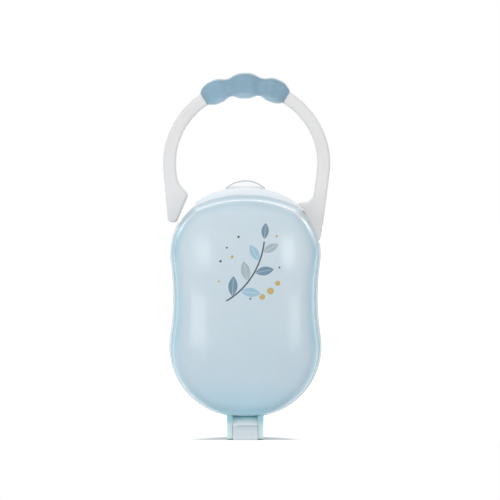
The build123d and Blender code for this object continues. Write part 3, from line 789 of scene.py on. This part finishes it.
def lay_floor(settings):
    """White floor that shows as the room does, but for the shadow round the foot."""
    bpy.ops.mesh.primitive_plane_add(size=1.0,
                                     location=(0.0, settings.floor_front + settings.floor_depth / 2, 0.0))
    floor = bpy.context.object
    floor.name = "floor"
    floor.scale = (settings.floor_width, settings.floor_depth, 1.0)
    bpy.ops.object.transform_apply(location=True, rotation=True, scale=True)
    material = bpy.data.materials.new("Studio floor")
    material.use_nodes = True
    graph = Graph(material.node_tree)
    place = graph.node("ShaderNodeTexCoord").outputs["Object"]
    # Distance from the shadow's middle, as a share of its reach
    local = graph.node("ShaderNodeMapping", {"Vector": place, "Location": (0.0, settings.shadow_y, 0.0),
                                             "Scale": (settings.shadow_across, settings.shadow_along, 1.0)},
                       vector_type="TEXTURE")
    away = graph.node("ShaderNodeVectorMath", {0: local.outputs["Vector"]}, operation="LENGTH")
    _, depth, _ = graph.axes(place)
    front = graph.ramp(depth, settings.floor_front, settings.floor_front + settings.front_fade, 1.0, 0.0)
    # Painted shade: the floor's glow is held back in an ellipse round the foot, so the floor shows darker
    # there, with the lamps' real shadow inside it
    lit = graph.math("MAXIMUM", graph.ramp(away.outputs["Value"], *settings.shadow_edge), front)
    lit = graph.product(graph.seen_rays(), lit)
    matte = graph.node("ShaderNodeBsdfDiffuse", {"Color": settings.floor})
    glow = graph.node("ShaderNodeEmission", {"Color": WHITE, "Strength": lit})
    both = graph.node("ShaderNodeAddShader", {0: matte.outputs[0], 1: glow.outputs[0]})
    graph.node("ShaderNodeOutputMaterial", {"Surface": both.outputs[0]})
    floor.data.materials.append(material)


def light_room(settings):
    """White room, which looks fully white and lights the case with a softer level."""
    world = bpy.data.worlds.new("White room")
    bpy.context.scene.world = world
    world.use_nodes = True
    graph = Graph(world.node_tree)
    lights = graph.node("ShaderNodeBackground", {"Color": settings.room, "Strength": settings.ambient})
    shown = graph.node("ShaderNodeBackground", {"Color": WHITE, "Strength": 1.0})
    mixed = graph.node("ShaderNodeMixShader",
                       {0: graph.seen_rays(), 1: lights.outputs[0], 2: shown.outputs[0]})
    graph.node("ShaderNodeOutputWorld", {"Surface": mixed.outputs[0]})


def hang_lights(settings):
    middle = Vector((0.0, 0.0, settings.light_aim))
    for name, place, size, power, part in LIGHTS:
        area_light(name, place, middle, size, getattr(settings, power) * part).visible_glossy = False
    for name, place, size, part in RIM_LIGHTS:
        area_light(name, place, middle, size, settings.rim * part, "ELLIPSE")
    # Softboxes that the crowned cover mirrors as four soft gleams
    for name, turn, rise, size, part in GLEAMS:
        turn, rise = radians(turn), radians(rise)
        way = Vector((sin(turn) * cos(rise), -cos(turn) * cos(rise), sin(rise)))
        area_light(name, middle + settings.gleam_distance * way, middle, size, settings.gleam * part)


def place_camera(settings):
    target = Vector((settings.aim_x, 0.0, settings.aim_z))
    away = Vector((0.0, -cos(settings.elevation), sin(settings.elevation)))
    bpy.ops.object.camera_add(location=target + away * settings.distance)
    camera = bpy.context.object
    camera.name = "camera"
    camera.rotation_euler = (pi / 2 - settings.elevation, 0.0, 0.0)
    camera.data.sensor_width = 36.0
    camera.data.lens = camera.data.sensor_width * settings.distance / settings.view_width
    camera.data.clip_end = 20.0
    bpy.context.scene.camera = camera


class CASE_OT_stage(bpy.types.Operator):
    """Set the floor, the white room, the lights and the camera"""
    bl_idname = "case.stage"
    bl_label = "Studio"

    def execute(self, context):
        settings = context.scene.case_stage
        context.scene.view_settings.view_transform = "Standard"
        lay_floor(settings)
        light_room(settings)
        hang_lights(settings)
        place_camera(settings)
        return {"FINISHED"}


class CASE_PT_panel(bpy.types.Panel):
    bl_label = "Pacifier Case"
    bl_idname = "CASE_PT_panel"
    bl_space_type = "VIEW_3D"
    bl_region_type = "UI"
    bl_category = "Case"

    def draw(self, context):
        for operator in OPERATORS:
            self.layout.operator(operator.bl_idname)


SETTINGS = {
    "case_shell": CaseShellSettings,
    "case_button": CaseButtonSettings,
    "case_cover": CaseCoverSettings,
    "case_print": CasePrintSettings,
    "case_handle": CaseHandleSettings,
    "case_spring": CaseSpringSettings,
    "case_metal": CaseMetalSettings,
    "case_stage": CaseStageSettings,
}
OPERATORS = (CASE_OT_shell, CASE_OT_button, CASE_OT_cover, CASE_OT_handle, CASE_OT_grip, CASE_OT_spring,
             CASE_OT_metal, CASE_OT_stage)


def register():
    for cls in (*SETTINGS.values(), *OPERATORS, CASE_PT_panel):
        bpy.utils.register_class(cls)
    for name, cls in SETTINGS.items():
        setattr(bpy.types.Scene, name, PointerProperty(type=cls))


def unregister():
    for name in SETTINGS:
        delattr(bpy.types.Scene, name)
    for cls in (CASE_PT_panel, *OPERATORS, *SETTINGS.values()):
        bpy.utils.unregister_class(cls)


def main():
    register()
    bpy.ops.object.select_all(action="DESELECT")
    bpy.ops.case.shell()
    bpy.ops.case.button()
    bpy.ops.case.cover()
    bpy.ops.case.handle()
    bpy.ops.case.grip()
    bpy.ops.case.spring()
    bpy.ops.case.metal()
    bpy.ops.case.stage()


if __name__ == "__main__":
    main()
